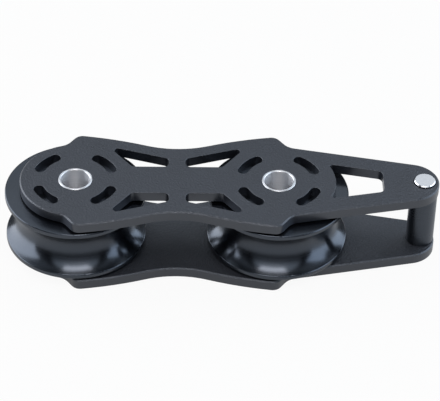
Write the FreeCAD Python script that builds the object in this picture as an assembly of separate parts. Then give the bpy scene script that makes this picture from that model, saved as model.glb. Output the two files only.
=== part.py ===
"""Two-sheave rope deck organizer, in millimetres.

Two black cheek plates are held apart by two stainless bolt sleeves and, past the right-hand sheave,
by a post with a riveted pin. Each grooved sheave turns on a caged roller bearing around its sleeve,
and thrust washers keep it centred between the plates.

+X runs along the row of sheaves towards the post, +Y to the far side and +Z up. The origin is midway
between the two bolt holes, on the underside that lies on the deck.
"""

import FreeCAD, Part
import math
import os
from FreeCAD import Vector

# Layout of the axes
axle_spacing = 82.3
post_from_axle = 59.15

# Cheek plates
plate_t = 4.3
plate_gap = 25.6
plate_chamfer = 0.5
opening_chamfer = 0.1
end_r = 22.5
nose_r = 11.45
nose_behind_post = 5.5

# How far each cutter runs past the faces of a plate
cut_over = 1.0

# Ears beside each axle, and the waist between them
ear_half = 28.6
ear_corner_from_axle = 0.35
ear_corner_r = 4.0
flank_angle = 54.4
flank_foot_r = 7.0
ear_edge_r = 143.0
waist_half = 20.3
waist_r = 40.0
arm_root_half = 21.8

# Windows in the upper plate
ring_r = 23.15
spine_half = 8.3
cross_bar_half = 3.4
window_ear_rail = 3.3
window_waist_rail = 6.8
window_ring_angle = 37.5
window_corner_r = 2.2
window_tip_r = 1.5
ring_corner_r = 1.0
arm_rail = 7.5
end_window_to_post = 16.7
end_window_corner_r = 2.5

# Most of a window's side along the cross bar that the round of one corner takes up
window_corner_share = 0.45

# Curved slots around each axle in the upper plate
slot_r = 15.75
slot_w = 4.4
slot_start_angle = 24.1
slot_end_angle = 57.2

# Bolt sleeves
sleeve_od = 13.8
sleeve_bore = 11.8
sleeve_chamfer = 0.2
sleeve_fit = 0.05

# Sheaves
sheave_od = 57.2
sheave_w = 23.3
rim_round = 0.5
rim_flat = 1.2
groove_root_r = 21.7

# Caged roller bearing in each sheave
roller_d = 4.0
roller_pitch_r = 12.5
roller_l = 15.0
roller_edge = 0.3
roller_count = 12
track_clearance = 0.05
pocket_clearance = 0.1
cage_wall = 2.2
cage_l = 18.0

# Caps on the ends of the inner race, and the thrust washers under them
cap_t = 2.0
cap_od = 36.6
cap_chamfer = 0.3
washer_t = 1.5
washer_od = 36.0
washer_fit = 0.15
washer_gap = 0.05
washer_side_gap = 0.3

# Post and riveted pin at the end of the arm
post_od = 11.3
post_chamfer = 0.3
pin_d = 6.2
pin_fit = 0.1
pin_head_d = 8.6
pin_head_t = 1.6
pin_head_proud = 0.9
pin_head_chamfer = 0.35
pin_recess_gap = 0.35
pin_foot_d = 9.4

# Worked out from the sizes above
total_h = 2 * plate_t + plate_gap
mid_z = total_h / 2
upper_z = plate_t + plate_gap
left_x = -axle_spacing / 2
right_x = axle_spacing / 2
post_x = right_x + post_from_axle
nose_x = post_x - nose_behind_post
inner_race_r = roller_pitch_r - roller_d / 2 - track_clearance
outer_race_r = roller_pitch_r + roller_d / 2 + track_clearance
race_l = plate_gap - 2 * cap_t
sleeve_hole_r = sleeve_od / 2 + sleeve_fit
counterbore_depth = sheave_w / 2 - (race_l / 2 - washer_t - 2 * washer_gap)


def turned(profile):
    """A solid of revolution about the Z axis, from a closed run of (radius, height) corners."""
    corners = [Vector(r, 0, z) for r, z in profile]
    face = Part.Face(Part.makePolygon(corners + corners[:1]))
    return face.revolve(Vector(0, 0, 0), Vector(0, 0, 1), 360)


def tube(outer_r, inner_r, z0, z1, edge=0.0):
    """A straight tube with its four rims bevelled by edge."""
    return turned([
        (inner_r + edge, z0), (outer_r - edge, z0), (outer_r, z0 + edge), (outer_r, z1 - edge),
        (outer_r - edge, z1), (inner_r + edge, z1), (inner_r, z1 - edge), (inner_r, z0 + edge),
    ] if edge else [(inner_r, z0), (outer_r, z0), (outer_r, z1), (inner_r, z1)])


def drill(r, x, z0, z1):
    """A round cutter on a vertical axis at x."""
    return Part.makeCylinder(r, z1 - z0, Vector(x, 0, z0))


def line(a, b):
    return Part.LineSegment(a, b).toShape()


def arc(centre, a, b, away=None):
    """The arc about centre from a to b. It takes the shorter way round, or passes through away."""
    if away is None:
        radius = a.distanceToPoint(centre)
        away = centre + ((a + b) / 2 - centre).normalize() * radius
    return Part.Arc(a, away, b).toShape()


def mirrored(shape):
    """The same shape on the near side of the XZ plane."""
    return shape.mirror(Vector(0, 0, 0), Vector(0, 1, 0))


def raised(edges, z0, height):
    """The solid above a closed run of edges drawn at z = 0."""
    face = Part.Face(Part.Wire(Part.__sortEdges__(edges)))
    return face.extrude(Vector(0, 0, height)).translated(Vector(0, 0, z0))


def round_corners(solid, corners, radius):
    """Rounds the upright edges of a plate that stand on the given corners."""
    def stands_on(edge, corner):
        ends = [v.Point for v in edge.Vertexes]
        return len(ends) == 2 and all(math.hypot(p.x - corner.x, p.y - corner.y) < 1e-4 for p in ends)

    edges = [e for e in solid.Edges if any(stands_on(e, c) for c in corners)]
    return solid.makeFillet(radius, edges)


def circles_meet(c1, r1, c2, r2):
    """The two points that are r1 from c1 and r2 from c2."""
    way = c2 - c1
    d = way.Length
    along = (r1 ** 2 - r2 ** 2 + d ** 2) / (2 * d)
    aside = math.sqrt(r1 ** 2 - along ** 2)
    way.normalize()
    foot = c1 + way * along
    across = Vector(-way.y, way.x, 0) * aside
    return foot + across, foot - across


def line_meets_circle(start, way, centre, radius):
    """The first point of the ray from start along way that lies on the circle."""
    to = start - centre
    b = to.dot(way)
    return start + way * (-b - math.sqrt(b ** 2 - to.dot(to) + radius ** 2))


def lines_meet(start, way, other, other_way):
    """Where a line through start along way meets a line through other along other_way."""
    normal = other_way.cross(Vector(0, 0, 1))
    return start + way * ((other - start).dot(normal) / way.dot(normal))


def outline_points():
    """The corners and tangent points of the far half of the cheek's outline, from left to right."""
    slope = math.radians(flank_angle)
    p = {}
    p["left_axle"] = Vector(left_x, 0, 0)
    p["left_ear"] = Vector(left_x + ear_corner_from_axle, ear_half, 0)
    p["left_foot"] = line_meets_circle(
        p["left_ear"], Vector(-math.cos(slope), -math.sin(slope), 0), p["left_axle"], end_r)
    p["right_ear"] = Vector(right_x - ear_corner_from_axle, ear_half, 0)
    fall = (ear_half - arm_root_half) / math.tan(slope)
    p["arm_root"] = Vector(p["right_ear"].x + fall, arm_root_half, 0)

    # The waist and each ear edge are arcs that touch where they meet
    p["waist_centre"] = Vector(0, waist_half + waist_r, 0)
    p["left_edge_centre"] = min(
        circles_meet(p["left_ear"], ear_edge_r, p["waist_centre"], ear_edge_r + waist_r),
        key=lambda point: point.y)
    way = (p["left_edge_centre"] - p["waist_centre"]).normalize()
    p["left_waist"] = p["waist_centre"] + way * waist_r

    # The straight side of the arm touches the rounded nose
    nose = Vector(nose_x, 0, 0)
    gap = nose.distanceToPoint(p["arm_root"])
    reach = math.sqrt(gap ** 2 - nose_r ** 2)
    p["nose"] = max(circles_meet(nose, nose_r, p["arm_root"], reach), key=lambda point: point.y)
    return p


def flipped(point):
    """The point on the other side of the middle cross bar."""
    return Vector(-point.x, point.y, point.z)


def cheek_blank():
    """The outline that both cheek plates share, as a plain plate."""
    p = outline_points()
    left_tip = Vector(left_x - end_r, 0, 0)
    nose_tip = Vector(nose_x + nose_r, 0, 0)
    half = [
        line(p["left_foot"], p["left_ear"]),
        arc(p["left_edge_centre"], p["left_ear"], p["left_waist"]),
        arc(p["waist_centre"], p["left_waist"], flipped(p["left_waist"])),
        arc(flipped(p["left_edge_centre"]), flipped(p["left_waist"]), p["right_ear"]),
        line(p["right_ear"], p["arm_root"]),
        line(p["arm_root"], p["nose"]),
    ]
    near_foot = Vector(p["left_foot"].x, -p["left_foot"].y, 0)
    near_nose = Vector(p["nose"].x, -p["nose"].y, 0)
    ends = [
        Part.Arc(p["left_foot"], left_tip, near_foot).toShape(),
        Part.Arc(p["nose"], nose_tip, near_nose).toShape(),
    ]
    plate = raised(half + [mirrored(edge) for edge in half] + ends, 0, plate_t)

    def both(name):
        return [p[name], Vector(p[name].x, -p[name].y, 0)]

    plate = round_corners(plate, both("left_foot") + both("arm_root"), flank_foot_r)
    return round_corners(plate, both("left_ear") + both("right_ear"), ear_corner_r)


def top_face(plate):
    """The large flat face on top of a plate that lies on z = 0."""
    faces = [f for f in plate.Faces
             if isinstance(f.Surface, Part.Plane) and abs(f.CenterOfMass.z - plate_t) < 1e-6]
    return max(faces, key=lambda f: f.Area)


def bevel_outline(plate):
    """Bevels the outer rim of a plate's top face."""
    return plate.makeChamfer(plate_chamfer, top_face(plate).OuterWire.Edges)


def bevel_openings(plate):
    """Bevels the rims of the openings in a plate's top face."""
    face = top_face(plate)
    rims = [e for wire in face.Wires if not wire.isSame(face.OuterWire) for e in wire.Edges]
    return plate.makeChamfer(opening_chamfer, rims)


def around_axle(axle, radius, degrees):
    """The point at a radius and an angle from +X about an axle."""
    turn = math.radians(degrees)
    return axle + Vector(math.cos(turn), math.sin(turn), 0) * radius


def waist_window(z0, height):
    """The window on the far side, between the left axle's ring and the middle cross bar."""
    axle = Vector(left_x, 0, 0)
    bar_x = -cross_bar_half
    waist = Vector(bar_x, waist_half - window_waist_rail, 0)
    spine = Vector(bar_x, spine_half, 0)
    rail = axle + Vector(0, ear_half - window_ear_rail, 0) - waist

    # The straight side beside the axle touches its ring, and runs from the spine to the rail
    touch = around_axle(axle, ring_r, window_ring_angle)
    side = (touch - axle).cross(Vector(0, 0, -1)).normalize()
    ring_low = lines_meet(touch, side, spine, Vector(1, 0, 0))
    tip = lines_meet(touch, side, waist, rail)
    corners = [tip, waist, spine, ring_low]
    cutter = raised([line(a, b) for a, b in zip(corners, corners[1:] + corners[:1])], z0, height)
    corner_r = min(window_corner_r, window_corner_share * (waist.y - spine_half))
    cutter = round_corners(cutter, [waist, spine, ring_low], corner_r)
    return round_corners(cutter, [tip], window_tip_r)


def end_window(z0, height):
    """The window in the arm, from the right axle's ring towards the post."""
    p = outline_points()
    axle = Vector(right_x, 0, 0)
    along = (p["nose"] - p["arm_root"]).normalize()
    start = p["arm_root"] + Vector(along.y, -along.x, 0) * arm_rail
    end_x = post_x - end_window_to_post
    far_end = start + along * ((end_x - start.x) / along.x)
    far_ring = line_meets_circle(far_end, along * -1, axle, ring_r)
    near_end = Vector(far_end.x, -far_end.y, 0)
    near_ring = Vector(far_ring.x, -far_ring.y, 0)
    cutter = raised([
        line(far_ring, far_end), line(far_end, near_end), line(near_end, near_ring),
        arc(axle, near_ring, far_ring, axle + Vector(ring_r, 0, 0)),
    ], z0, height)
    cutter = round_corners(cutter, [far_end, near_end], end_window_corner_r)
    return round_corners(cutter, [far_ring, near_ring], ring_corner_r)


def ring_slot(axle_x, z0, height):
    """One curved slot with round ends, in the quarter towards +X and +Y of its axle."""
    axle = Vector(axle_x, 0, 0)

    def at(radius, degrees):
        return around_axle(axle, radius, degrees)

    outer = slot_r + slot_w / 2
    inner = slot_r - slot_w / 2
    end_turn = math.degrees(slot_w / 2 / slot_r)
    return raised([
        arc(axle, at(outer, slot_start_angle), at(outer, slot_end_angle)),
        Part.Arc(at(outer, slot_end_angle), at(slot_r, slot_end_angle + end_turn),
                 at(inner, slot_end_angle)).toShape(),
        arc(axle, at(inner, slot_end_angle), at(inner, slot_start_angle)),
        Part.Arc(at(inner, slot_start_angle), at(slot_r, slot_start_angle - end_turn),
                 at(outer, slot_start_angle)).toShape(),
    ], z0, height)


def ring_slots(axle_x, z0, height):
    """The four slots around one axle."""
    axle = Vector(axle_x, 0, 0)
    first = ring_slot(axle_x, z0, height)
    pair = [first, first.mirror(axle, Vector(1, 0, 0))]
    return pair + [mirrored(slot) for slot in pair]


def top_cheek_plate():
    """The upper plate, opened by windows and slots, with holes for the sleeves and the pin."""
    plate = bevel_outline(cheek_blank())
    window = waist_window(-cut_over, plate_t + 2 * cut_over)
    pair = [window, window.mirror(Vector(0, 0, 0), Vector(1, 0, 0))]
    cutters = pair + [mirrored(cutter) for cutter in pair]
    cutters.append(end_window(-cut_over, plate_t + 2 * cut_over))
    for axle_x in (left_x, right_x):
        cutters += ring_slots(axle_x, -cut_over, plate_t + 2 * cut_over)
        cutters.append(drill(sleeve_hole_r, axle_x, -cut_over, plate_t + cut_over))
    plate = bevel_openings(plate.cut(cutters))

    # The pin's head sits in a shallow recess that comes close to the nose
    head_seat = plate_t + pin_head_proud - pin_head_t
    plate = plate.cut([
        drill(pin_d / 2 + pin_fit, post_x, -cut_over, plate_t + cut_over),
        drill(pin_head_d / 2 + pin_recess_gap, post_x, head_seat, plate_t + cut_over),
    ])
    return plate.translated(Vector(0, 0, upper_z))


def bottom_cheek_plate():
    """The lower plate, which is closed and lies on the deck."""
    plate = bevel_outline(cheek_blank())
    cutters = [drill(sleeve_hole_r, axle_x, -cut_over, plate_t + cut_over) for axle_x in (left_x, right_x)]
    cutters.append(drill(pin_d / 2 + pin_fit, post_x, -cut_over, plate_t + cut_over))
    cutters.append(rivet_foot(pin_fit).translated(Vector(post_x, 0, 0)))
    return plate.cut(cutters)


def bolt_sleeve():
    """The stainless tube that a deck bolt passes through, flush with both cheeks."""
    return tube(sleeve_od / 2, sleeve_bore / 2, 0, total_h, sleeve_chamfer)


def inner_race():
    """The hard sleeve that the rollers run on, clamped between the two race caps."""
    return tube(inner_race_r, sleeve_hole_r, mid_z - race_l / 2, mid_z + race_l / 2)


def race_cap(side):
    """The disc between one end of the inner race and the cheek, on the side +1 (upper) or -1."""
    inside = mid_z + side * race_l / 2
    cheek = inside + side * cap_t
    return turned([
        (sleeve_hole_r, inside), (cap_od / 2 - cap_chamfer, inside),
        (cap_od / 2, inside + side * cap_chamfer), (cap_od / 2, cheek), (sleeve_hole_r, cheek),
    ])


def thrust_washer(side):
    """The plastic ring that the sheave bears against sideways, under one race cap."""
    outer = mid_z + side * (race_l / 2 - washer_gap)
    inner = outer - side * washer_t
    low, high = sorted((outer, inner))
    return tube(washer_od / 2, inner_race_r + washer_fit, low, high)


def grooved_sheave():
    """The grooved wheel, bored for the rollers and counterbored for both thrust washers."""
    half_w = sheave_w / 2
    rim_r = sheave_od / 2
    seat_r = max(washer_od, cap_od) / 2 + washer_side_gap
    floor_z = half_w - counterbore_depth

    # The rim is a flat band between two rounded edges, so a rope meets no corner
    round_r = rim_r - rim_round
    band_top = half_w - rim_round
    band_foot = band_top - rim_flat
    rise = round_r - groove_root_r
    groove_r = (band_foot ** 2 + rise ** 2 - rim_round ** 2) / (2 * (rise + rim_round))
    lower_centre = Vector(round_r, 0, band_foot)
    to_groove = (Vector(groove_root_r + groove_r, 0, 0) - lower_centre).normalize()
    touch = lower_centre + to_groove * rim_round

    def side_edges(s):
        """The profile from the bore to the groove on the side +1 or -1."""
        corners = [Vector(r, 0, s * z) for r, z in (
            (outer_race_r, floor_z), (seat_r, floor_z), (seat_r, half_w), (round_r, half_w))]
        band = [Vector(rim_r, 0, s * z) for z in (band_top, band_foot)]
        side_touch = Vector(touch.x, 0, s * touch.z)
        return [line(a, b) for a, b in zip(corners, corners[1:])] + [
            arc(Vector(round_r, 0, s * band_top), corners[-1], band[0]),
            line(*band),
            arc(Vector(round_r, 0, s * band_foot), band[1], side_touch),
        ]

    lower_touch = Vector(touch.x, 0, -touch.z)
    edges = side_edges(-1) + side_edges(1)
    edges.append(Part.Arc(lower_touch, Vector(groove_root_r, 0, 0), touch).toShape())
    edges.append(line(Vector(outer_race_r, 0, floor_z), Vector(outer_race_r, 0, -floor_z)))
    edges = Part.__sortEdges__(edges)
    face = Part.Face(Part.Wire(edges))
    wheel = face.revolve(Vector(0, 0, 0), Vector(0, 0, 1), 360)
    return wheel.translated(Vector(0, 0, mid_z))


def around(shape, count):
    """Copies of a shape in a circle about the Z axis."""
    step = 360 / count
    return [shape.rotated(Vector(0, 0, 0), Vector(0, 0, 1), step * i) for i in range(count)]


def roller_set():
    """The rollers that stand in a circle between the inner race and the sheave."""
    half = roller_l / 2
    roller = turned([
        (0, -half), (roller_d / 2 - roller_edge, -half), (roller_d / 2, -half + roller_edge),
        (roller_d / 2, half - roller_edge), (roller_d / 2 - roller_edge, half), (0, half),
    ])
    return Part.makeCompound(around(roller.translated(Vector(roller_pitch_r, 0, mid_z)), roller_count))


def roller_cage():
    """The ring with a pocket for each roller, which keeps them evenly apart."""
    ring = tube(roller_pitch_r + cage_wall / 2, roller_pitch_r - cage_wall / 2,
                mid_z - cage_l / 2, mid_z + cage_l / 2)
    wide = roller_d + 2 * pocket_clearance
    tall = roller_l + 2 * pocket_clearance
    corner = Vector(roller_pitch_r - cage_wall, -wide / 2, mid_z - tall / 2)
    return ring.cut(around(Part.makeBox(2 * cage_wall, wide, tall, corner), roller_count))


def end_post():
    """The tube that holds the cheeks apart at the end of the arm."""
    return tube(post_od / 2, pin_d / 2 + pin_fit, plate_t, upper_z, post_chamfer)


def rivet_foot(gap):
    """The cone that the pin's lower end is spread into, level with the underside."""
    depth = (pin_foot_d - pin_d) / 2
    return Part.makeCone(pin_foot_d / 2 + gap, pin_d / 2 + gap, depth)


def end_pin():
    """The rivet through the post: a low round head above, and a foot spread flush below."""
    head_top = total_h + pin_head_proud
    head_seat = head_top - pin_head_t
    head_r = pin_head_d / 2
    head = turned([
        (0, head_seat), (head_r, head_seat), (head_r, head_top - pin_head_chamfer),
        (head_r - pin_head_chamfer, head_top), (0, head_top),
    ])
    shank = Part.makeCylinder(pin_d / 2, head_seat)
    return head.fuse([shank, rivet_foot(0)]).removeSplitter()


def build():
    """Every piece by name, each already in its place."""
    pieces = {"top_cheek_plate": top_cheek_plate(), "bottom_cheek_plate": bottom_cheek_plate()}
    for side, x in (("left", left_x), ("right", right_x)):
        bearing = {
            "bolt_sleeve": bolt_sleeve(),
            "inner_race": inner_race(),
            "upper_race_cap": race_cap(1),
            "lower_race_cap": race_cap(-1),
            "upper_thrust_washer": thrust_washer(1),
            "lower_thrust_washer": thrust_washer(-1),
            "sheave": grooved_sheave(),
            "rollers": roller_set(),
            "roller_cage": roller_cage(),
        }
        for name, shape in bearing.items():
            pieces[f"{side}_{name}"] = shape.translated(Vector(x, 0, 0))
    pieces["end_post"] = end_post().translated(Vector(post_x, 0, 0))
    pieces["end_pin"] = end_pin().translated(Vector(post_x, 0, 0))
    return pieces


os.makedirs("parts", exist_ok=True)
for node, solid in build().items():
    solid.exportStep(f"parts/{node}.step")
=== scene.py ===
"""Looks of a two-sheave rope deck organizer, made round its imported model.

The solids keep their shapes, and each gets the finish of the real piece. The rollers of both bearings
are laid out round their axles by a Geometry Nodes tree.
"""

import math

import bpy
from bpy.props import FloatProperty, FloatVectorProperty, IntProperty, PointerProperty
from mathutils import Matrix, Vector


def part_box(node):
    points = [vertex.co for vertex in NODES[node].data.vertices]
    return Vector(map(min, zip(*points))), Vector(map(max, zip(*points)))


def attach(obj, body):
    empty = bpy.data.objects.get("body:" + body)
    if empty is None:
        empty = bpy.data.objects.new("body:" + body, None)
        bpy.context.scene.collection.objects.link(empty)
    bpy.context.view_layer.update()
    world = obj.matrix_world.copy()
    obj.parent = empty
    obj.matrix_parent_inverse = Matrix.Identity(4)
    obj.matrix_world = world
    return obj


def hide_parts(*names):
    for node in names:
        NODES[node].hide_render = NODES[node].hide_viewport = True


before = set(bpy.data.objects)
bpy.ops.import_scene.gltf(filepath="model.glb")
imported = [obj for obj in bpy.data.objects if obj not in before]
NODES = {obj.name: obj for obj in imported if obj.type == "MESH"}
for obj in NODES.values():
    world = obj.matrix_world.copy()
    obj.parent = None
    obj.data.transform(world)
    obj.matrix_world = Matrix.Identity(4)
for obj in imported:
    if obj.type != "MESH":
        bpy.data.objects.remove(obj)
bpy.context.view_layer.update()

bl_info = {
    "name": "Rope deck organizer",
    "version": (1, 0, 0),
    "blender": (4, 5, 0),
    "location": "3D View > Sidebar > Organizer",
    "description": "Finishes the pieces of a two-sheave rope deck organizer and sets a plain studio",
    "category": "Add Mesh",
}

SIDES = ("left", "right")

# The photograph's camera, in metres and degrees
IMAGE_WIDTH = 440
FOCAL_LENGTH_PX = 2377.85
SENSOR_WIDTH_MM = 36.0
CAMERA_TARGET = Vector((0.0177320, 0.0061951, 0.0181987))
CAMERA_DISTANCE = 0.976495
CAMERA_ELEVATION = 40.0133
CAMERA_AZIMUTH = -1.9351
CAMERA_ROLL = 1.7082
CLIP_START = 0.01
CLIP_END = 50

# The dense oxide on anodised aluminium shines more than plastic, and with black dye its sheen is cool
OXIDE_IOR = 1.77
PLATE_SHEEN = "ecf3ff"
SHEAVE_SHEEN = "ddebff"

# How far lathe marks draw out the reflections in the sheaves, the caps and the post
BLACK_MARKS = 0.85
CAP_ROUGHNESS = 0.35
POST_ROUGHNESS = 0.3

# How many sides a roller has, and the angle from which its edges stay sharp
ROLLER_SIDES = 32
ROLLER_SHARP_ANGLE = math.radians(30)

# The floor lies a hair below the lower plate, so that the two faces don't coincide
FLOOR_HEIGHT = -0.00005
PAPER_COLOUR = "c5c4c2"
# The object mirrors this share of the floor as plain white, and the rest as lit paper
MIRRORED_WHITE = 0.5

# What the lamps face, in metres, and their distance from there
LAMPS_FACE = Vector((0.02, 0, 0.02))
LAMPS_DISTANCE = 1.0
# Name, bearing from the front and height above the floor in degrees, size in metres and colour
SOFTBOXES = (
    ("top_lamp", -6, 67, (0.5, 0.36), "fff7f3"),
    ("left_lamp", -108, 22, (1.15, 0.85), "f6f9ff"),
    ("right_lamp", 100, 24, (1.4, 0.8), "e1efff"),
)

# Walls of the studio at bearings from the front, in degrees, with an even change from each to the next
WALLS = (
    (-180, "back"), (-140, "back"), (-115, "side"), (-66, "side"), (-58, "gap"), (-49, "gap"),
    (-41, "front"), (41, "front"),
    (49, "gap"), (56, "gap"), (63, "side"), (115, "side"), (140, "back"), (180, "back"),
)
# Level of the side walls, as a share of that of the back wall
SIDE_SHARE = 0.3
WALL_COLOUR = "f1f8ff"
# Share of a wall's level by the height of the way to it, where 0 is level and 1 straight up
WALL_HEIGHTS = ((0.15, 0.08), (0.5, 0.2), (0.66, 0.74), (0.77, 1.0), (0.92, 1.0), (0.98, 0.3))


def linear(hex_code):
    """The linear colour of an sRGB hex value."""
    channels = [int(hex_code[i:i + 2], 16) / 255 for i in (0, 2, 4)]
    return [c / 12.92 if c <= 0.04045 else ((c + 0.055) / 1.055) ** 2.4 for c in channels]


def colour_property(name, description, hex_code):
    """A colour that a user can change, with an sRGB hex value as its default."""
    return FloatVectorProperty(
        name=name, description=description, subtype="COLOR", size=3, min=0, max=1,
        default=linear(hex_code))


# Settings that a user would change

class PlateSettings(bpy.types.PropertyGroup):
    """Both cheek plates"""
    colour: colour_property("Colour", "Dye of the anodised cheek plates", "15171c")
    roughness: FloatProperty(
        name="Roughness", description="How matt the blasted faces are", default=0.5, min=0, max=1)
    edge_roughness: FloatProperty(
        name="Edge roughness", description="How matt the milled edges and window walls are",
        default=0.32, min=0, max=1)
    grain: FloatProperty(
        name="Blast grain", description="Width of one dimple of the blasted face",
        default=0.0009, unit="LENGTH")


class SheaveSettings(bpy.types.PropertyGroup):
    """Both grooved sheaves, the race caps beside them and the post"""
    colour: colour_property("Colour", "Dye of the hard anodised sheaves", "050609")
    cap_colour: colour_property("Cap colour", "Dye of the anodised race caps and post", "07080a")
    roughness: FloatProperty(
        name="Roughness", description="How matt the turned sheaves are", default=0.22, min=0, max=1)
    turning_pitch: FloatProperty(
        name="Turning pitch", description="Distance between the rings that the lathe tool leaves",
        default=0.0005, unit="LENGTH")


class SteelSettings(bpy.types.PropertyGroup):
    """Sleeves, inner races and the pin"""
    colour: colour_property("Colour", "Colour of the stainless steel", "e0e1e4")
    sleeve_roughness: FloatProperty(
        name="Sleeve roughness", description="How matt the turned sleeves are",
        default=0.45, min=0, max=1)
    pin_roughness: FloatProperty(
        name="Pin roughness", description="How matt the riveted pin is", default=0.22, min=0, max=1)
    sleeve_marks: FloatProperty(
        name="Sleeve marks", description="How far lathe marks draw out the reflections in the sleeves",
        default=0.8, min=0, max=1)
    pin_marks: FloatProperty(
        name="Pin marks", description="How far lathe marks draw out the reflections in the pin",
        default=0.2, min=0, max=1)


class BearingSettings(bpy.types.PropertyGroup):
    """Rollers, cages and thrust washers"""
    dark_colour: colour_property("Cage colour", "Colour of the cages and thrust washers", "26272a")
    roller_colour: colour_property("Roller colour", "Colour of the rollers", "e6e5de")
    roller_count: IntProperty(
        name="Rollers", description="Rollers in one bearing", default=12, min=3, max=24)
    roller_radius: FloatProperty(
        name="Roller radius", description="Radius of one roller", default=0.002, unit="LENGTH")
    roller_pitch_radius: FloatProperty(
        name="Pitch radius", description="Distance from the axle to the middle of a roller",
        default=0.0125, unit="LENGTH")
    roller_edge: FloatProperty(
        name="Roller edge", description="Width of the bevel at the ends of a roller",
        default=0.0003, unit="LENGTH")


class StageSettings(bpy.types.PropertyGroup):
    """Floor, lamps and world"""
    floor_size: FloatProperty(
        name="Floor size", description="Side of the square floor", default=6.0, unit="LENGTH")
    shadow: FloatProperty(
        name="Shadow", description="How much of the object's shadow the white floor shows",
        default=0.07, min=0, max=1, subtype="FACTOR")
    back_level: FloatProperty(
        name="Back level", description="Brightness of the wall behind the object, where it is brightest",
        default=1.4, min=0)
    front_level: FloatProperty(
        name="Front level", description="Brightness of the wall behind the camera, where it is brightest",
        default=1.4, min=0)
    gap_level: FloatProperty(
        name="Gap level", description="Brightness of the dark gaps beside the front wall",
        default=0.08, min=0)
    top_lamp: FloatProperty(
        name="Top lamp", description="Brightness of the softbox overhead, where 1 is white",
        default=6.0, min=0)
    left_lamp: FloatProperty(
        name="Left lamp", description="Brightness of the softbox on the left, where 1 is white",
        default=3.7, min=0)
    right_lamp: FloatProperty(
        name="Right lamp", description="Brightness of the softbox on the right, where 1 is white",
        default=2.8, min=0)


SETTINGS = {
    "organizer_plates": PlateSettings,
    "organizer_sheaves": SheaveSettings,
    "organizer_steel": SteelSettings,
    "organizer_bearings": BearingSettings,
    "organizer_stage": StageSettings,
}


# Nodes that the materials and the stage are made of

def add_node(tree, kind, settings=None, inputs=None):
    """Adds a node, sets its options, and fills or links its inputs."""
    node = tree.nodes.new(kind)
    for name, value in (settings or {}).items():
        setattr(node, name, value)
    for name, value in (inputs or {}).items():
        if isinstance(value, bpy.types.NodeSocket):
            tree.links.new(value, node.inputs[name])
        else:
            node.inputs[name].default_value = value
    return node


def empty_tree(owner):
    """The node tree of a material or world, without the nodes that Blender puts there."""
    owner.use_nodes = True
    owner.node_tree.nodes.clear()
    return owner.node_tree


def new_material(name):
    """An empty material with its node tree and its Object coordinates."""
    material = bpy.data.materials.new(name)
    tree = empty_tree(material)
    return material, tree, add_node(tree, "ShaderNodeTexCoord").outputs["Object"]


def close_material(tree, inputs):
    """Ends a material in one shader with the given inputs."""
    shader = add_node(tree, "ShaderNodeBsdfPrincipled", inputs=inputs)
    add_node(tree, "ShaderNodeOutputMaterial", inputs={"Surface": shader.outputs["BSDF"]})


def noise(tree, vector, size, detail=2.0):
    """A random pattern whose patches are about size metres wide."""
    node = add_node(tree, "ShaderNodeTexNoise", inputs={
        "Vector": vector, "Scale": 1 / size, "Detail": detail})
    return node.outputs["Fac"]


def spread(tree, value, low, high):
    """A noise pattern, most of which lies between 0.3 and 0.7, spread from low to high."""
    node = add_node(tree, "ShaderNodeMapRange", inputs={
        "Value": value, "From Min": 0.3, "From Max": 0.7, "To Min": low, "To Max": high})
    return node.outputs["Result"]


def mottled(tree, colour, amount, pattern):
    """A colour that goes darker and lighter by amount where the pattern does."""
    node = add_node(tree, "ShaderNodeMix", {"data_type": "RGBA"}, {
        0: spread(tree, pattern, 0, 1),
        6: [c * (1 - amount) for c in colour] + [1],
        7: [c * (1 + amount) for c in colour] + [1]})
    return node.outputs[2]


def multiplied(tree, first, second):
    """The product of two colours."""
    node = add_node(tree, "ShaderNodeMix", {"data_type": "RGBA", "blend_type": "MULTIPLY"}, {
        0: 1.0, 6: first, 7: second})
    return node.outputs[2]


def bump(tree, height, depth, strength=1.0):
    """A normal from a height pattern that is depth metres deep."""
    node = add_node(tree, "ShaderNodeBump", inputs={
        "Height": height, "Distance": depth, "Strength": strength})
    return node.outputs["Normal"]


def lathe_coordinates(tree, place, centre_x):
    """Distance from an upright axis and height along it, which is all that a turned face varies by."""
    centred = add_node(tree, "ShaderNodeMapping", inputs={
        "Vector": place, "Location": (-centre_x, 0, 0)})
    parts = add_node(tree, "ShaderNodeSeparateXYZ", inputs={"Vector": centred.outputs["Vector"]})
    flat = add_node(tree, "ShaderNodeCombineXYZ", inputs={
        "X": parts.outputs["X"], "Y": parts.outputs["Y"]})
    radius = add_node(tree, "ShaderNodeVectorMath", {"operation": "LENGTH"}, {
        "Vector": flat.outputs["Vector"]})
    both = add_node(tree, "ShaderNodeCombineXYZ", inputs={
        "X": radius.outputs["Value"], "Z": parts.outputs["Z"]})
    return both.outputs["Vector"]


def lathe_marks(tree, strength):
    """Inputs that draw reflections out across the rings that a lathe tool leaves."""
    rings = add_node(tree, "ShaderNodeTangent", {"direction_type": "RADIAL", "axis": "Z"})
    quarter_turn = 0.25
    return {"Anisotropic": strength, "Anisotropic Rotation": quarter_turn,
            "Tangent": rings.outputs["Tangent"]}


def flatness(tree):
    """0 on the upright edges and window walls of a plate, and 1 on its level faces."""
    normal = add_node(tree, "ShaderNodeTexCoord").outputs["Normal"]
    upright = add_node(tree, "ShaderNodeSeparateXYZ", inputs={"Vector": normal}).outputs["Z"]
    either_way = add_node(tree, "ShaderNodeMath", {"operation": "ABSOLUTE"}, {0: upright})
    # The bevels between the two lie within these limits
    edge = 0.3
    face = 0.9
    node = add_node(tree, "ShaderNodeMapRange", inputs={
        "Value": either_way.outputs["Value"], "From Min": edge, "From Max": face})
    return node.outputs["Result"]


# Finishes

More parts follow.
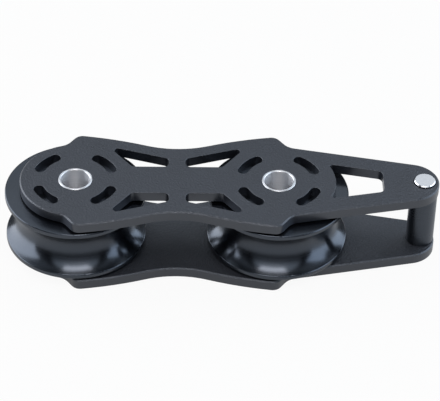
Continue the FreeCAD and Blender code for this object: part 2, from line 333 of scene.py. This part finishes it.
def blasted_black_anodised_aluminium(name, colour, roughness, edge_roughness, grain):
    """Plate that was bead blasted, milled out and anodised: satin black faces with a faint grain.

    The milled edges and window walls have no grain and shine more.
    """
    material, tree, place = new_material(name)
    flat = flatness(tree)
    satin = add_node(tree, "ShaderNodeMapRange", inputs={
        "Value": flat, "To Min": edge_roughness, "To Max": roughness})
    # Real dimples are about 0.1 mm wide and far less deep, drawn coarser here so that they show
    dimples = noise(tree, place, grain, 3.0)
    dimple_depth = 0.0003
    # Rinsing and handling leave the dye a little uneven over some centimetres
    clouds = noise(tree, place, 0.018)
    unevenness = 0.12
    close_material(tree, {
        "Base Color": mottled(tree, colour, unevenness, clouds),
        "Specular Tint": linear(PLATE_SHEEN) + [1],
        "IOR": OXIDE_IOR,
        "Roughness": satin.outputs["Result"],
        "Normal": bump(tree, dimples, dimple_depth, flat)})
    return material


def turned_black_anodised_aluminium(name, colour, roughness, pitch, centre_x):
    """Bar that was turned smooth and then hard anodised: a glossy black with faint rings."""
    material, tree, place = new_material(name)
    # A fine finishing cut is about 0.1 mm a turn, drawn coarser here so that it shows
    rings = noise(tree, lathe_coordinates(tree, place, centre_x), pitch, 1.0)
    ring_depth = 0.000004
    clouds = noise(tree, place, 0.012)
    unevenness = 0.15
    close_material(tree, {
        "Base Color": mottled(tree, colour, unevenness, clouds),
        "Specular Tint": linear(SHEAVE_SHEEN) + [1],
        "IOR": OXIDE_IOR,
        "Roughness": spread(tree, rings, roughness - 0.03, roughness + 0.03),
        "Normal": bump(tree, rings, ring_depth),
        **lathe_marks(tree, BLACK_MARKS)})
    return material


def turned_stainless_steel(name, colour, roughness, marks, centre_x):
    """Tube or pin that was turned from stainless bar: bright, with faint rings."""
    material, tree, place = new_material(name)
    # The tool's rings are about 0.1 mm apart, drawn coarser here so that they show
    ring_pitch = 0.0004
    ring_depth = 0.000003
    rings = noise(tree, lathe_coordinates(tree, place, centre_x), ring_pitch, 1.0)
    unevenness = 0.05
    close_material(tree, {
        "Base Color": mottled(tree, colour, unevenness, rings),
        "Metallic": 1.0,
        "Roughness": spread(tree, rings, roughness - 0.04, roughness + 0.04),
        "Normal": bump(tree, rings, ring_depth),
        **lathe_marks(tree, marks)})
    return material


def machined_acetal(name, colour):
    """Acetal that was turned from rod: a waxy plastic, a little glossy, with a hardly seen ripple."""
    material, tree, place = new_material(name)
    clouds = noise(tree, place, 0.004)
    unevenness = 0.06
    ripple = noise(tree, place, 0.0005)
    ripple_depth = 0.000004
    close_material(tree, {
        "Base Color": mottled(tree, colour, unevenness, clouds),
        "Roughness": spread(tree, clouds, 0.36, 0.44),
        "Normal": bump(tree, ripple, ripple_depth)})
    return material


def paint(node, material):
    """Gives a CAD node its finish, in all its material slots."""
    data = NODES[node].data
    if not data.materials:
        data.materials.append(material)
    for index in range(len(data.materials)):
        data.materials[index] = material


# Rollers

def roller_tree():
    """A node tree that stands bevelled rollers in a ring, and the identifiers of its inputs by name."""
    tree = bpy.data.node_groups.new("roller_ring", "GeometryNodeTree")
    fields = {
        "Rollers": "Int", "Roller radius": "Float", "Roller length": "Float", "Roller edge": "Float",
        "Pitch radius": "Float", "Centre": "Vector", "Material": "Material"}
    identifiers = {}
    for name, kind in fields.items():
        socket = tree.interface.new_socket(name, in_out="INPUT", socket_type=f"NodeSocket{kind}")
        identifiers[name] = socket.identifier
    tree.interface.new_socket("Geometry", in_out="OUTPUT", socket_type="NodeSocketGeometry")
    given = add_node(tree, "NodeGroupInput").outputs

    # A drum without its bevels, whose end faces are drawn out and then narrowed
    drum_length = add_node(tree, "ShaderNodeMath", {"operation": "MULTIPLY_ADD"}, {
        0: given["Roller edge"], 1: -2.0, 2: given["Roller length"]})
    drum = add_node(tree, "GeometryNodeMeshCylinder", {"fill_type": "NGON"}, {
        "Vertices": ROLLER_SIDES, "Radius": given["Roller radius"],
        "Depth": drum_length.outputs["Value"]}).outputs
    ends = add_node(tree, "FunctionNodeBooleanMath", {"operation": "OR"}, {
        0: drum["Top"], 1: drum["Bottom"]})
    drawn = add_node(tree, "GeometryNodeExtrudeMesh", {"mode": "FACES"}, {
        "Mesh": drum["Mesh"], "Selection": ends.outputs["Boolean"],
        "Offset Scale": given["Roller edge"]}).outputs
    end_radius = add_node(tree, "ShaderNodeMath", {"operation": "SUBTRACT"}, {
        0: given["Roller radius"], 1: given["Roller edge"]})
    narrowing = add_node(tree, "ShaderNodeMath", {"operation": "DIVIDE"}, {
        0: end_radius.outputs["Value"], 1: given["Roller radius"]})
    roller = add_node(tree, "GeometryNodeScaleElements", {"domain": "FACE"}, {
        "Geometry": drawn["Mesh"], "Selection": drawn["Top"], "Scale": narrowing.outputs["Value"]})

    circle = add_node(tree, "GeometryNodeMeshCircle", inputs={
        "Vertices": given["Rollers"], "Radius": given["Pitch radius"]})
    places = add_node(tree, "GeometryNodeTransform", inputs={
        "Geometry": circle.outputs["Mesh"], "Translation": given["Centre"]})
    stood = add_node(tree, "GeometryNodeInstanceOnPoints", inputs={
        "Points": places.outputs["Geometry"], "Instance": roller.outputs["Geometry"]})
    real = add_node(tree, "GeometryNodeRealizeInstances", inputs={
        "Geometry": stood.outputs["Instances"]})
    finished = add_node(tree, "GeometryNodeSetMaterial", inputs={
        "Geometry": real.outputs["Geometry"], "Material": given["Material"]})
    add_node(tree, "NodeGroupOutput", inputs={"Geometry": finished.outputs["Geometry"]})
    return tree, identifiers


def plain_copy(name, tree, identifiers, values):
    """A new object at the origin with the plain mesh that a node tree makes from the given values."""
    maker = bpy.data.objects.new(name, bpy.data.meshes.new(name))
    bpy.context.scene.collection.objects.link(maker)
    modifier = maker.modifiers.new("nodes", "NODES")
    modifier.node_group = tree
    for field, value in values.items():
        modifier[identifiers[field]] = value
    evaluated = maker.evaluated_get(bpy.context.evaluated_depsgraph_get())
    mesh = bpy.data.meshes.new_from_object(evaluated)
    mesh.name = name
    bpy.data.objects.remove(maker)
    piece = bpy.data.objects.new(name, mesh)
    bpy.context.scene.collection.objects.link(piece)
    return piece


def middle(node):
    """The middle of a CAD node's box."""
    low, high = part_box(node)
    return (low + high) / 2


# Pieces

class ORGANIZER_OT_finish_plates(bpy.types.Operator):
    """Finish both cheek plates"""
    bl_idname = "organizer.finish_plates"
    bl_label = "Cheek plates"

    def execute(self, context):
        chosen = context.scene.organizer_plates
        material = blasted_black_anodised_aluminium(
            "blasted_black_anodised_aluminium", chosen.colour, chosen.roughness,
            chosen.edge_roughness, chosen.grain)
        paint("top_cheek_plate", material)
        paint("bottom_cheek_plate", material)
        return {"FINISHED"}


class ORGANIZER_OT_finish_sheaves(bpy.types.Operator):
    """Finish both sheaves and the race caps beside them"""
    bl_idname = "organizer.finish_sheaves"
    bl_label = "Sheaves and race caps"

    def execute(self, context):
        chosen = context.scene.organizer_sheaves
        for side in SIDES:
            axle_x = middle(f"{side}_bolt_sleeve").x
            paint(f"{side}_sheave", turned_black_anodised_aluminium(
                f"{side}_turned_hard_anodised_aluminium", chosen.colour, chosen.roughness,
                chosen.turning_pitch, axle_x))
            cap = turned_black_anodised_aluminium(
                f"{side}_cap_anodised_aluminium", chosen.cap_colour, CAP_ROUGHNESS,
                chosen.turning_pitch, axle_x)
            paint(f"{side}_upper_race_cap", cap)
            paint(f"{side}_lower_race_cap", cap)
        return {"FINISHED"}


class ORGANIZER_OT_finish_sleeves(bpy.types.Operator):
    """Finish the bolt sleeves and the inner races round them"""
    bl_idname = "organizer.finish_sleeves"
    bl_label = "Bolt sleeves"

    def execute(self, context):
        chosen = context.scene.organizer_steel
        for side in SIDES:
            steel = turned_stainless_steel(
                f"{side}_turned_stainless_steel", chosen.colour, chosen.sleeve_roughness,
                chosen.sleeve_marks, middle(f"{side}_bolt_sleeve").x)
            paint(f"{side}_bolt_sleeve", steel)
            paint(f"{side}_inner_race", steel)
        return {"FINISHED"}


class ORGANIZER_OT_finish_post(bpy.types.Operator):
    """Finish the post and the pin riveted through it"""
    bl_idname = "organizer.finish_post"
    bl_label = "Post and pin"

    def execute(self, context):
        centre_x = middle("end_post").x
        steel = context.scene.organizer_steel
        paint("end_pin", turned_stainless_steel(
            "riveted_stainless_steel", steel.colour, steel.pin_roughness,
            steel.pin_marks, centre_x))
        black = context.scene.organizer_sheaves
        paint("end_post", turned_black_anodised_aluminium(
            "post_anodised_aluminium", black.cap_colour, POST_ROUGHNESS,
            black.turning_pitch, centre_x))
        return {"FINISHED"}


class ORGANIZER_OT_fill_bearings(bpy.types.Operator):
    """Finish the cages, thrust washers and rollers"""
    bl_idname = "organizer.fill_bearings"
    bl_label = "Roller bearings"

    def execute(self, context):
        chosen = context.scene.organizer_bearings
        dark = machined_acetal("black_acetal", chosen.dark_colour)
        pale = machined_acetal("natural_acetal", chosen.roller_colour)
        tree, identifiers = roller_tree()
        for side in SIDES:
            paint(f"{side}_roller_cage", dark)
            paint(f"{side}_upper_thrust_washer", dark)
            paint(f"{side}_lower_thrust_washer", dark)
            low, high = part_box(f"{side}_rollers")
            rollers = plain_copy(f"{side}_roller_ring", tree, identifiers, {
                "Rollers": chosen.roller_count,
                "Roller radius": chosen.roller_radius,
                "Roller length": high.z - low.z,
                "Roller edge": chosen.roller_edge,
                "Pitch radius": chosen.roller_pitch_radius,
                "Centre": tuple(middle(f"{side}_rollers")),
                "Material": pale})
            rollers.data.shade_smooth()
            rollers.data.set_sharp_from_angle(angle=ROLLER_SHARP_ANGLE)
            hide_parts(f"{side}_rollers")
            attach(rollers, f"{side}_roller_set")
        return {"FINISHED"}


# Stage

def camera_axes():
    """Right, up and back of the photograph's camera."""
    elevation = math.radians(CAMERA_ELEVATION)
    azimuth = math.radians(CAMERA_AZIMUTH)
    roll = math.radians(CAMERA_ROLL)
    back = Vector((math.sin(azimuth) * math.cos(elevation),
                   -math.cos(azimuth) * math.cos(elevation),
                   math.sin(elevation)))
    level = Vector((math.cos(azimuth), math.sin(azimuth), 0))
    upright = back.cross(level)
    right = level * math.cos(roll) + upright * math.sin(roll)
    up = upright * math.cos(roll) - level * math.sin(roll)
    return right, up, back


def add_camera():
    """The camera that sees the object as the photograph does."""
    data = bpy.data.cameras.new("camera")
    data.sensor_width = SENSOR_WIDTH_MM
    data.lens = FOCAL_LENGTH_PX / IMAGE_WIDTH * SENSOR_WIDTH_MM
    data.clip_start = CLIP_START
    data.clip_end = CLIP_END
    camera = bpy.data.objects.new("camera", data)
    right, up, back = camera_axes()
    turn = Matrix((right, up, back)).transposed().to_4x4()
    camera.matrix_world = Matrix.Translation(CAMERA_TARGET + back * CAMERA_DISTANCE) @ turn
    bpy.context.scene.collection.objects.link(camera)
    bpy.context.scene.camera = camera


def way_towards(bearing, height):
    """The direction at a bearing from the front, positive to the right, and an angle above the floor."""
    bearing, height = math.radians(bearing), math.radians(height)
    return Vector((math.sin(bearing) * math.cos(height),
                   -math.cos(bearing) * math.cos(height),
                   math.sin(height)))


def add_softbox(name, bearing, height, size, level, hex_code):
    """A soft rectangular lamp that faces the object, and that the camera doesn't see."""
    data = bpy.data.lights.new(name, "AREA")
    data.shape = "RECTANGLE"
    data.size, data.size_y = size
    # The power in watts at which the lamp's face has the given brightness
    data.energy = level * math.pi * data.size * data.size_y
    data.color = linear(hex_code)
    lamp = bpy.data.objects.new(name, data)
    way = way_towards(bearing, height)
    lamp.location = LAMPS_FACE + way * LAMPS_DISTANCE
    lamp.rotation_euler = way.to_track_quat("Z", "Y").to_euler()
    lamp.visible_camera = False
    bpy.context.scene.collection.objects.link(lamp)


def white_paper(shadow):
    """Paper that the camera sees as white with a part of the shadow, and that is clear from below."""
    material = bpy.data.materials.new("white_paper")
    tree = empty_tree(material)
    paper = add_node(tree, "ShaderNodeBsdfDiffuse", inputs={"Color": linear(PAPER_COLOUR) + [1]})
    white = add_node(tree, "ShaderNodeEmission", inputs={"Color": (1, 1, 1, 1), "Strength": 1.0})
    clear = add_node(tree, "ShaderNodeBsdfTransparent")
    paths = add_node(tree, "ShaderNodeLightPath").outputs
    seen = add_node(tree, "ShaderNodeMath", {"operation": "MULTIPLY"}, {
        0: paths["Is Camera Ray"], 1: 1 - shadow})
    mirrored = add_node(tree, "ShaderNodeMath", {"operation": "MULTIPLY"}, {
        0: paths["Is Glossy Ray"], 1: MIRRORED_WHITE})
    share = add_node(tree, "ShaderNodeMath", {"operation": "MAXIMUM"}, {
        0: seen.outputs["Value"], 1: mirrored.outputs["Value"]})
    above = add_node(tree, "ShaderNodeMixShader", inputs={
        0: share.outputs["Value"], 1: paper.outputs["BSDF"], 2: white.outputs["Emission"]})
    either_side = add_node(tree, "ShaderNodeMixShader", inputs={
        0: add_node(tree, "ShaderNodeNewGeometry").outputs["Backfacing"],
        1: above.outputs["Shader"], 2: clear.outputs["BSDF"]})
    add_node(tree, "ShaderNodeOutputMaterial", inputs={"Surface": either_side.outputs["Shader"]})
    return material


def add_floor(size, shadow):
    """The square white floor."""
    half = size / 2
    plan = ((-half, -half), (half, -half), (half, half), (-half, half))
    corners = [(x, y, FLOOR_HEIGHT) for x, y in plan]
    mesh = bpy.data.meshes.new("floor")
    mesh.from_pydata(corners, [], [(0, 1, 2, 3)])
    mesh.materials.append(white_paper(shadow))
    floor = bpy.data.objects.new("floor", mesh)
    bpy.context.scene.collection.objects.link(floor)


def grey_ramp(tree, value, stops):
    """The grey that goes with a value, between stops of a place and a level."""
    ramp = add_node(tree, "ShaderNodeValToRGB", inputs={"Fac": value})
    elements = ramp.color_ramp.elements
    while len(elements) < len(stops):
        elements.new(0.5)
    for element, (place, level) in zip(elements, stops):
        element.position = place
        element.color = (level, level, level, 1)
    return ramp.outputs["Color"]


def set_world(back, front, gap):
    """Walls that change with their bearing and height, and white where the camera looks."""
    world = bpy.data.worlds.new("studio")
    tree = empty_tree(world)
    direction = add_node(tree, "ShaderNodeTexCoord").outputs["Generated"]
    way = add_node(tree, "ShaderNodeSeparateXYZ", inputs={"Vector": direction}).outputs
    ahead = add_node(tree, "ShaderNodeMath", {"operation": "MULTIPLY"}, {0: way["Y"], 1: -1.0})
    bearing = add_node(tree, "ShaderNodeMath", {"operation": "ARCTAN2"}, {
        0: way["X"], 1: ahead.outputs["Value"]})
    turn = add_node(tree, "ShaderNodeMapRange", inputs={
        "Value": bearing.outputs["Value"], "From Min": -math.pi, "From Max": math.pi})
    levels = {"back": back, "side": SIDE_SHARE * back, "gap": gap, "front": front}
    round_about = grey_ramp(tree, turn.outputs["Result"], [
        (0.5 + degrees / 360, levels[wall]) for degrees, wall in WALLS])
    upwards = grey_ramp(tree, way["Z"], WALL_HEIGHTS)
    walls = multiplied(tree, multiplied(tree, round_about, linear(WALL_COLOUR) + [1]), upwards)
    light = add_node(tree, "ShaderNodeBackground", inputs={"Color": walls})
    white = add_node(tree, "ShaderNodeBackground", inputs={"Color": (1, 1, 1, 1)})
    mix = add_node(tree, "ShaderNodeMixShader", inputs={
        0: add_node(tree, "ShaderNodeLightPath").outputs["Is Camera Ray"],
        1: light.outputs["Background"], 2: white.outputs["Background"]})
    add_node(tree, "ShaderNodeOutputWorld", inputs={"Surface": mix.outputs["Shader"]})
    bpy.context.scene.world = world


class ORGANIZER_OT_set_stage(bpy.types.Operator):
    """Set the white floor, the lamps, the world and the camera"""
    bl_idname = "organizer.set_stage"
    bl_label = "Stage"

    def execute(self, context):
        chosen = context.scene.organizer_stage
        add_floor(chosen.floor_size, chosen.shadow)
        set_world(chosen.back_level, chosen.front_level, chosen.gap_level)
        for name, bearing, height, size, hex_code in SOFTBOXES:
            add_softbox(name, bearing, height, size, getattr(chosen, name), hex_code)
        context.scene.view_settings.view_transform = "Standard"
        add_camera()
        return {"FINISHED"}


class ORGANIZER_PT_pieces(bpy.types.Panel):
    """Buttons for the pieces of the organizer"""
    bl_idname = "ORGANIZER_PT_pieces"
    bl_label = "Rope deck organizer"
    bl_space_type = "VIEW_3D"
    bl_region_type = "UI"
    bl_category = "Organizer"

    def draw(self, context):
        for operator in OPERATORS:
            self.layout.operator(operator.bl_idname)
        for name in SETTINGS:
            group = getattr(context.scene, name)
            box = self.layout.box()
            for field in group.bl_rna.properties:
                if field.identifier not in ("name", "rna_type"):
                    box.prop(group, field.identifier)


OPERATORS = (
    ORGANIZER_OT_finish_plates,
    ORGANIZER_OT_finish_sheaves,
    ORGANIZER_OT_finish_sleeves,
    ORGANIZER_OT_finish_post,
    ORGANIZER_OT_fill_bearings,
    ORGANIZER_OT_set_stage,
)
CLASSES = (*SETTINGS.values(), *OPERATORS, ORGANIZER_PT_pieces)


def register():
    """Registers the classes and gives the scene its settings."""
    for each in CLASSES:
        bpy.utils.register_class(each)
    for name, group in SETTINGS.items():
        setattr(bpy.types.Scene, name, PointerProperty(type=group))


def unregister():
    """Takes the settings and the classes away again."""
    for name in SETTINGS:
        delattr(bpy.types.Scene, name)
    for each in reversed(CLASSES):
        bpy.utils.unregister_class(each)


def main():
    """Makes every piece and the stage."""
    register()
    bpy.ops.organizer.finish_plates()
    bpy.ops.organizer.finish_sheaves()
    bpy.ops.organizer.finish_sleeves()
    bpy.ops.organizer.finish_post()
    bpy.ops.organizer.fill_bearings()
    bpy.ops.organizer.set_stage()


if __name__ == "__main__":
    main()
